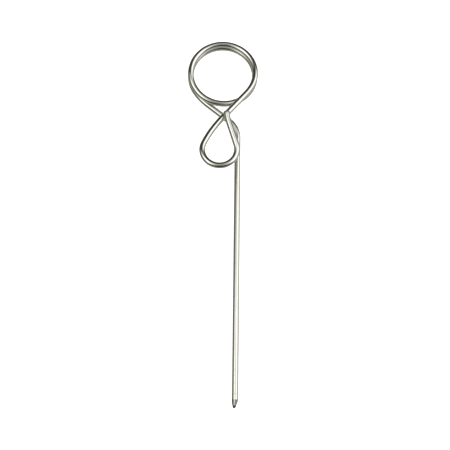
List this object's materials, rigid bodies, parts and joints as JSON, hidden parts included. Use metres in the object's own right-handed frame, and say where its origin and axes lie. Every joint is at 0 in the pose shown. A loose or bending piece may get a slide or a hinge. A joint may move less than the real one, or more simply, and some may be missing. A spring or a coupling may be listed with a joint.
{
  "type": "finger-ring wire pin",
  "caption": "Straight steel wire pin with a ground point at the tip, and at the top a coiled finger ring above a teardrop eye, all bent from round wire.",
  "frame": {"origin": "middle of the pin's outer box at its bottom, where it lies on its back; the finger ring's axis passes through X = 0", "axes": "+Y along the shaft from the point to the ring, +Z along the axis of the coiled ring, from the back strand to the eye, +X to the right as seen from +Z"},
  "size_m": [0.0294, 0.1538, 0.0111],
  "materials": {
    "drawn_wire": "polished",
    "ground_steel": "satin",
    "sheared_end": "satin"
  },
  "bodies": {
    "root": {"ground_point": "ground_steel", "shaft": "drawn_wire", "neck_bend": "drawn_wire", "back_strand": "drawn_wire", "ring_lead_in": "drawn_wire", "ring_rear_upper": "drawn_wire", "ring_rear_lower": "drawn_wire", "ring_front_turn": "drawn_wire", "ring_lead_out": "drawn_wire", "front_strand": "drawn_wire", "eye_shoulder": "drawn_wire", "eye_bend": "drawn_wire", "eye_side": "drawn_wire", "eye_tail": "drawn_wire", "cut_end": "sheared_end"}
  },
  "joints": []
}
